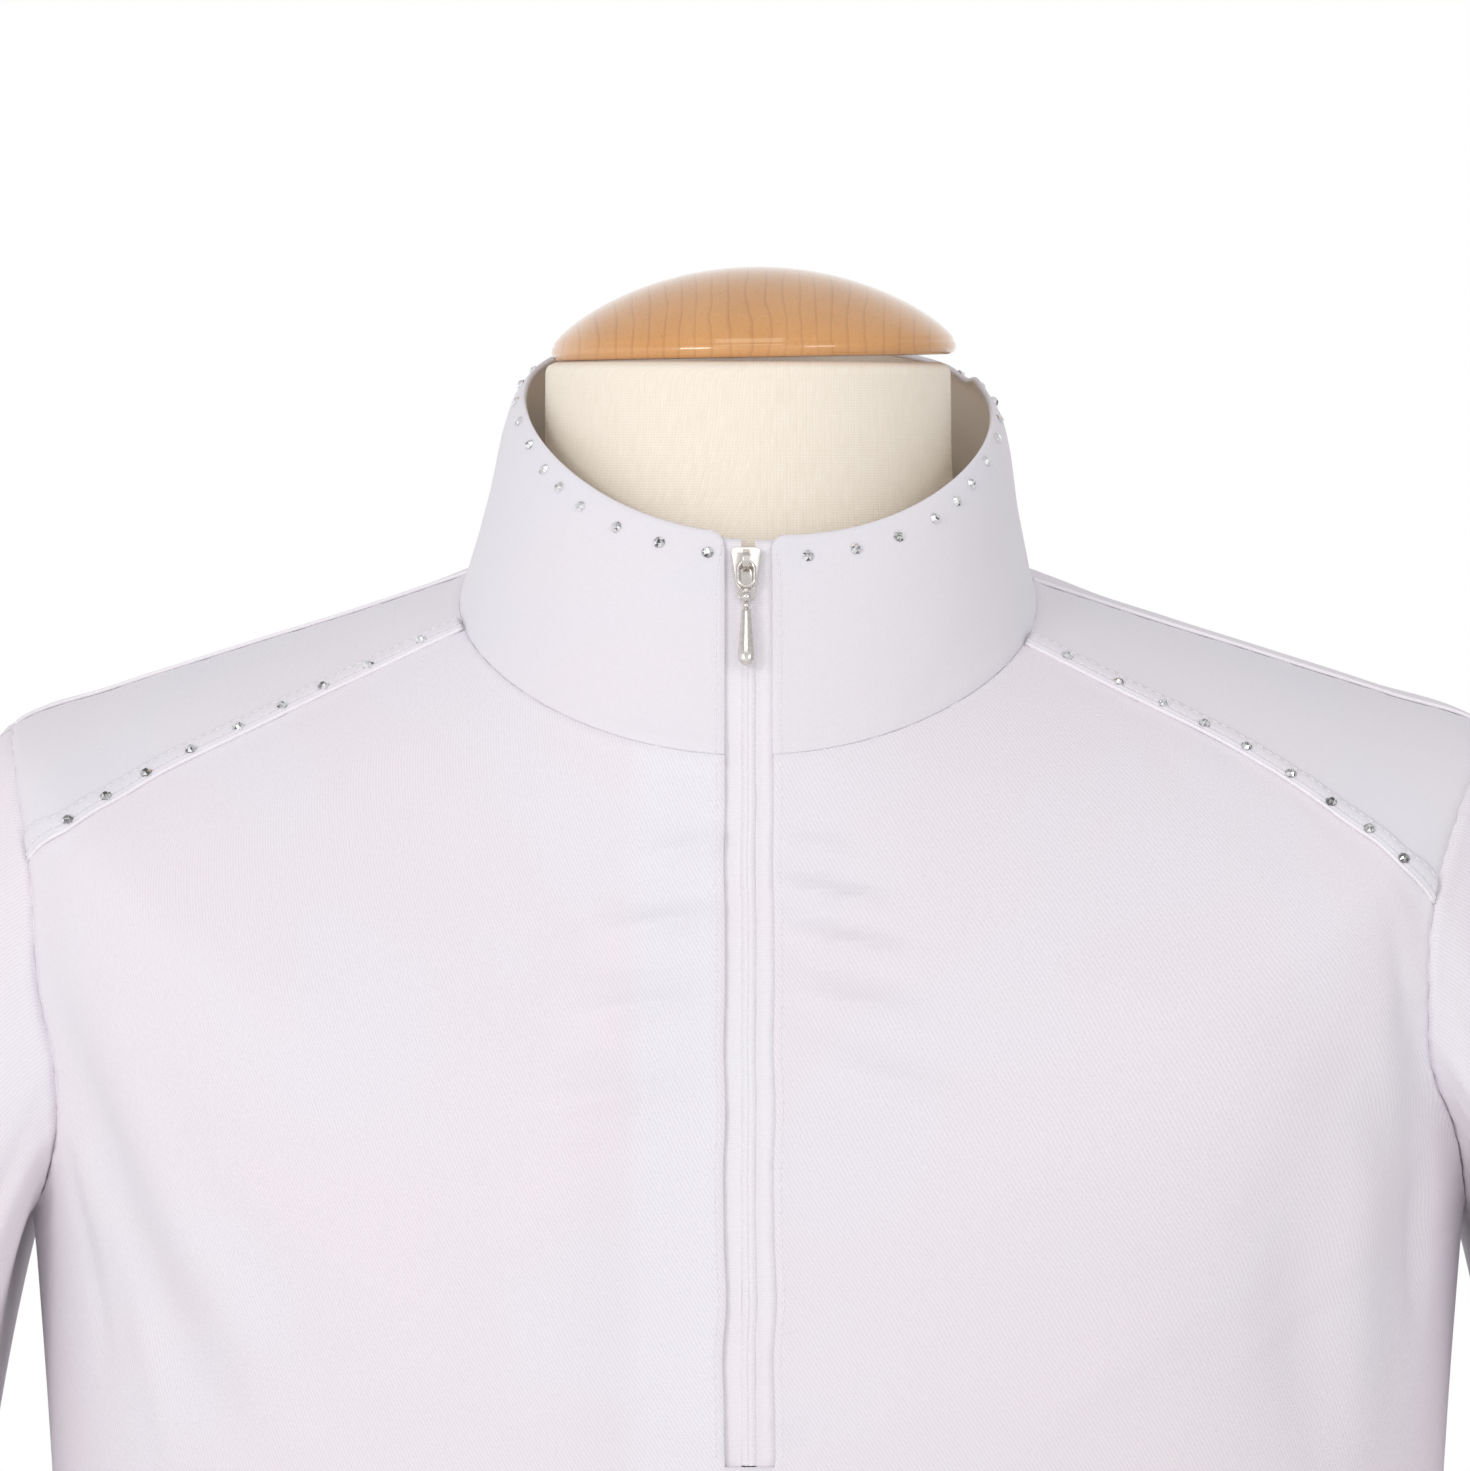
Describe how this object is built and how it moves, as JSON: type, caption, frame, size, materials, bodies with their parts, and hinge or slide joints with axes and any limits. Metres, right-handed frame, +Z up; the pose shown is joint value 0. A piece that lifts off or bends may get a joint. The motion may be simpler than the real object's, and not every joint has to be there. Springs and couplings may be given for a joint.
{
  "type": "equestrian show shirt on a limbless dress form",
  "caption": "White short-sleeved equestrian show shirt with stand collar, half zip and trimmed shoulder yokes, worn on a limbless dress form with a round foot.",
  "frame": {"origin": "middle of the round foot's underside, on the floor", "axes": "+Z up, -Y towards the viewer of the shirt's front, +X to the right seen from the front"},
  "size_m": [0.578, 0.3, 0.9174],
  "materials": {
    "shirt_twill": "fine matt twill",
    "shirt_sateen": "smooth, softly shining",
    "zip_tape": "matt woven tape",
    "zip_coil": "satin",
    "nickel": "polished",
    "form_jersey": "matt stretched jersey",
    "beech": "varnished"
  },
  "bodies": {
    "shirt_and_form": {"front": "shirt_twill", "back": "shirt_twill", "sleeve_left": "shirt_twill", "sleeve_right": "shirt_twill", "yoke_left": "shirt_sateen", "yoke_right": "shirt_sateen", "yoke_trim_left": "shirt_sateen", "yoke_trim_right": "shirt_sateen", "collar": "shirt_sateen", "zip_tape_left": "zip_tape", "zip_tape_right": "zip_tape", "zip_coil": "zip_coil", "zip_slider": "nickel", "dress_form": "form_jersey", "neck_cap": "beech", "stand_foot": "beech", "stand_pole": "beech"},
    "zip_pull": {"zip_pull": "nickel"}
  },
  "joints": [
    {"name": "pull_swing", "type": "hinge", "parent": "shirt_and_form", "child": "zip_pull", "pos_m": [-0.0006, -0.08049, 0.83756], "axis": [-1, 0, 0], "range_deg": [0, 150]}
  ]
}
